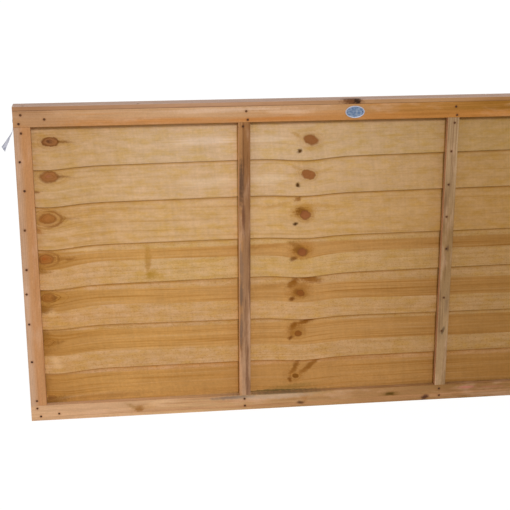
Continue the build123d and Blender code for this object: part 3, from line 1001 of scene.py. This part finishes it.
# Edges beside the battens where painted shade, partly dirt, darkens the slats, and how strongly
shade_and_grime_edges = [(batten_low.x - 1.0 * MM, 0.9), (batten_high.x + 0.5 * MM, 0.45),
               (far_low.x - 0.5 * MM, 0.8), (far_high.x + 0.5 * MM, 0.45)]


def painted_shade_and_dirt(n, wood, colour):
    """Painted shade, partly dirt, under the slat above, under the rail and beside the battens."""
    top_line = edge_height(n - 1, wood.x) if n else rail_underside
    spread = (3.2 if n else 7.0) * MM
    # Painted shade: a soft dark band under the slat above or the rail, and along the battens' edges,
    # stands in for the shade in these recesses; some of it is dirt
    shade_and_grime = bell((wood.z - top_line + 3.0 * MM) / spread) * 0.75
    for edge, share in shade_and_grime_edges:
        shade_and_grime = shade_and_grime.highest(bell((wood.x - edge) / (2.4 * MM)) * share)
    tint = (0.72, 0.58, 0.3) if n else (0.8, 0.55, 0.22)
    return stain(shade_and_grime * (0.7 + wood.speck * 0.6), colour, tint)


def slat_finish(n):
    finish = Finish(f"slat_{n + 1}_wood")
    wood = slat_grain(finish, n)
    colour, band = heartwood(n, wood, sapwood(n, wood))
    colour = grain_lines(n, wood, colour, band)
    for layer in (marks_and_rings, end_knot, whorl_knot, knot_tail, painted_shade_and_dirt):
        colour = layer(n, wood, colour)
    shade = (0.89 + wood.patch * 0.32) * (0.82 + wood.speck * 0.4) * (0.93 + wood.saw * 0.14)
    finish.feed(Base_Color=brighten(colour, shade), Roughness=0.8 - band * 0.06,
                Specular_IOR_Level=wood_gloss)
    finish.feed(Normal=bump(wood.speck * 0.5 + wood.saw * 0.3 + wood.line * 0.2, 0.3 * MM, 0.6))
    return finish.material


for n in range(slat_count):
    points, faces = slat_mesh(n)
    name = f"slat_{n + 1}"
    add_piece(name + "_board", points, faces, [name], [slat_finish(n)])
    print(name, len(faces), "faces")

# %% [markdown]
# ## Nails
# A wire nail is a lathe shape: a slightly domed head on a round shank. A cylinder would
# catch no light on its rim, so the head is spun from a short profile, once for each nail.
# The steel is not galvanised here, and its heads have rusted to a dark brown.

# %% Nail steel
def rust_finish():
    finish = Finish("rusted_nail_steel")
    x, y, z = places(finish)
    bloom = noise(x * 700, y * 700, z * 700, 3.0, 0.6)
    age = noise(x * 31, y * 31, z * 31, 1.0)
    steel = blend(step(age, 0.38, 0.62), (64, 44, 38), (118, 78, 46))
    colour = blend(step(bloom, 0.35, 0.65), steel, (92, 58, 36))
    finish.feed(Base_Color=colour, Metallic=0.1, Roughness=0.7 + bloom * 0.25,
                Specular_IOR_Level=0.15, Normal=bump(bloom, 0.1 * MM, 0.6))
    return finish.material


rusted = rust_finish()

# %% Nails
# Radii and depths in mm, from the middle of the head to the point
head_profile = [(0.0, 0.4), (1.6, 0.42), (2.7, 0.5), (3.1, 0.66), (3.2, 0.85), (3.2, 1.3),
                (3.0, 1.4), (1.35, 1.4), (1.35, 38.0), (0.7, 39.5), (0.0, 40.4)]
sideways, to_back = Vector((1, 0, 0)), Vector((0, 1, 0))
to_front, down = Vector((0, -1, 0)), Vector((0, 0, -1))


def spin(profile, origins, inward, sides=20):
    """A shape turned round an axis, once at each origin."""
    upright = inward.cross(sideways)
    points, faces = [], []
    for origin in origins:
        first = len(points)
        for radius, depth in profile:
            for k in range(sides):
                turned = sideways * cos(tau * k / sides) + upright * sin(tau * k / sides)
                points.append(Vector(origin) + inward * (depth * MM) + turned * (max(radius, 0.01) * MM))
        faces += tube(len(profile), sides, first)
    return points, faces


def nail_set(name, origins, inward):
    points, faces = spin(head_profile, origins, inward)
    add_piece(name + "_steel", points, faces, [name], [rusted])
    print(name, len(origins))


for name, centres in front_nails.items():
    nail_set(name, [(x, front_y, z) for x, z in centres], to_back)
for name, centres in rear_nails.items():
    nail_set(name, [(x, rear_y, z) for x, z in centres], to_front)
nail_set("cap_nails", [(x, y, panel_top) for x, y in cap_nails], down)

# %% [markdown]
# ## The oval plate
# The small pressed plate on the top rail has a rolled rim of bare metal round a painted
# field. It is left plain. It is spun like a nail, but from an oval, and two pins hold it.

# %% Plate finishes
def bare_metal(name, fineness, light, dark, metallic, smooth):
    """Metal that handling has scuffed; fineness is for each of three axes."""
    finish = Finish(name)
    scuff = noise(*(at * fine for at, fine in zip(places(finish), fineness)), 2.0)
    finish.feed(Base_Color=blend(scuff, light, dark), Metallic=metallic, Roughness=smooth + scuff * 0.25)
    return finish.material


def plate_field_finish():
    finish = Finish("blue_enamel")
    x, y, z = places(finish)
    haze = noise(x * 160, y * 160, z * 260, 3.0)
    finish.feed(Base_Color=blend(step(haze, 0.35, 0.7), (80, 106, 142), (136, 150, 170)),
                Roughness=0.35 + haze * 0.2, Normal=bump(haze, 0.05 * MM, 0.4))
    return finish.material

# %% Oval plate
# Rings from the edge inwards, in mm: how far in, and how far out from the rail
plate_rings = [(0.0, 0.0), (0.0, 0.9), (0.3, 1.35), (0.9, 1.6), (1.7, 1.6), (2.5, 1.35), (2.9, 1.05),
               (3.4, 1.0), (7.0, 0.96), (11.0, 0.93)]
rim_rows, plate_sides = 6, 72
pressed = bare_metal("pressed_metal", (500, 500, 1400), (188, 188, 200), (152, 154, 168), 0.3, 0.32)


def oval_plate():
    low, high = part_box("oval_plate")
    middle, half = (low + high) / 2, (high - low) / 2
    points = []
    for inset, rise in plate_rings:
        for k in range(plate_sides):
            a = tau * k / plate_sides
            points.append((middle.x + (half.x - inset * MM) * cos(a), front_y - rise * MM,
                           middle.z + (half.z - inset * MM) * sin(a)))
    faces = tube(len(plate_rings), plate_sides)
    faces.append(tuple(range(len(points) - plate_sides, len(points))))
    rim = rim_rows * plate_sides
    indices = [0] * rim + [1] * (len(faces) - rim)
    return add_piece("oval_plate_pressed", points, faces, ["oval_plate"],
                     [pressed, plate_field_finish()], indices)


plate = oval_plate()
print("plate:", len(plate.data.polygons), "faces")

# %% Pins of the plate
plate_low, plate_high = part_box("oval_plate")
pin_inset = 6.5 * MM
pin_z = (plate_low.z + plate_high.z) / 2
pin_profile = [(0.0, -0.55), (0.7, -0.45), (1.15, -0.15), (1.2, 0.1), (0.6, 0.3), (0.6, 4.0), (0.0, 4.6)]
pin_y = front_y - 1.0 * MM
pin_places = [(plate_low.x + pin_inset, pin_y, pin_z), (plate_high.x - pin_inset, pin_y, pin_z)]
pin_points, pin_faces = spin(pin_profile, pin_places, to_back, 14)
add_piece("plate_pins", pin_points, pin_faces, [], [rusted])
print("pins:", len(pin_places))

# %% [markdown]
# ## The paper tag
# A strip of waxed paper is stapled over the left end, and its free part has curled away.
# Paper has no thickness to speak of, but it isn't flat either, so the strip is a thin
# closed sheet that follows the curl and ripples a little.

# %% Paper tag
def paper_finish():
    finish = Finish("waxed_paper")
    x, y, z = places(finish)
    pulp = noise(x * 600, y * 600, z * 600, 3.0)
    smudge = noise(x * 50, y * 70, z * 60, 3.0, 0.6)
    colour = blend(pulp, (228, 228, 240), (206, 207, 224))
    colour = blend(step(smudge, 0.46, 0.6) * 0.75, colour, (136, 142, 166))
    finish.feed(Base_Color=colour, Roughness=0.5 + pulp * 0.15, Normal=bump(pulp, 0.05 * MM, 0.5))
    return finish.material

# %% Shape of the tag
tag_half, tag_flat, tag_tail = 18 * MM, 18 * MM, 46 * MM  # half its width, and two lengths
bend_radius, bend, twist = 60 * MM, radians(30), radians(22)
half_sheet, rows_across = 0.26 * MM, 13


def tag_line():
    """Down the middle of the tag: two offsets, the slope, and how far along its free part."""
    curl = bend_radius * bend
    free = curl + tag_tail
    line = [(0.0, -s * MM, 0.0, 0.0) for s in np.linspace(0, tag_flat / MM, 8)]
    for slope in np.linspace(0, bend, 12)[1:]:
        out, drop = bend_radius * (1 - cos(slope)), tag_flat + bend_radius * sin(slope)
        line.append((-out, -drop, slope, bend_radius * slope / free))
    last_x, last_z, slope, _ = line[-1]
    for s in np.linspace(0, tag_tail, 18)[1:]:
        line.append((last_x - s * sin(slope), last_z - s * cos(slope), slope, (curl + s) / free))
    return line


def tag_mesh():
    """A rippled sheet that twists more and more along its free part."""
    loops, top = [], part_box("end_tag")[1].z
    for k, (dx, dz, slope, way) in enumerate(tag_line()):
        middle = Vector((left_x - 0.3 * MM + dx, 0, top + dz))
        turn = twist * way ** 2
        across = Vector((-cos(slope) * sin(turn), cos(turn), sin(slope) * sin(turn)))
        inward = Vector((cos(slope) * cos(turn), sin(turn), -sin(slope) * cos(turn)))
        loop = []
        for side in (1, -1):
            for share in np.linspace(-0.995, 0.995, rows_across)[::side]:
                ripple = way * (0.25 * sin(share * 4.7 + k * 0.5) - 0.1) * MM
                loop.append(middle + across * (tag_half * share) + inward * (side * half_sheet + ripple))
        loops.append(loop)
    return sheet(loops)


tag_points, tag_faces = tag_mesh()
add_piece("end_tag_paper", tag_points, tag_faces, ["end_tag"], [paper_finish()])
print("tag:", len(tag_faces), "faces")

# %% [markdown]
# ## Staples
# Two staples hold the tag. A staple is bent wire, so its corners are round. A short curve
# with a round section gives that better than two bars and a crossbar.

# %% Staples
wire_radius, wire_bend, wire_sides = 0.6 * MM, 1.2 * MM, 10


def staple_line(low, high):
    """Along the middle of the wire, seen from the side: foot, two round corners, head."""
    outer, foot, head = low.x + wire_radius, low.z + wire_radius, high.z - wire_radius
    bends = np.linspace(0, pi / 2, 5)
    corner = [(high.x, 0)] + [(outer + wire_bend * (1 - sin(a)), wire_bend * (1 - cos(a))) for a in bends]
    return [(x, foot + up) for x, up in corner] + [(x, head - up) for x, up in corner[::-1]]


def staple_mesh():
    low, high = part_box("tag_staples")
    line, sides = staple_line(low, high), wire_sides
    points, faces = [], []
    for y in (low.y + wire_radius, high.y - wire_radius):
        first = len(points)
        for k, (px, pz) in enumerate(line):
            before, after = line[max(k - 1, 0)], line[min(k + 1, len(line) - 1)]
            way = Vector((after[0] - before[0], 0, after[1] - before[1])).normalized()
            out = way.cross(to_back)
            for s in range(sides):
                turned = out * cos(tau * s / sides) + to_back * sin(tau * s / sides)
                points.append(Vector((px, y, pz)) + turned * wire_radius)
        faces += [face[::-1] for face in tube(len(line), sides, first)]
        faces.append(tuple(first + s for s in range(sides)))
        faces.append(tuple(range(first + (len(line) - 1) * sides, first + len(line) * sides))[::-1])
    return points, faces


zinc = bare_metal("zinc_wire", (900, 900, 900), (196, 198, 202), (150, 154, 160), 0.9, 0.3)
staple_points, staple_faces = staple_mesh()
add_piece("tag_staples_wire", staple_points, staple_faces, ["tag_staples"], [zinc])
print("staples:", len(staple_faces), "faces")

# %% [markdown]
# ## The CAD box
# The new pieces are built to stay inside the solids they stand for. The box round the CAD solids is
# printed.

# %% Print the CAD box
print("CAD box", [[round(c, 4) for c in v] for v in cad_box])
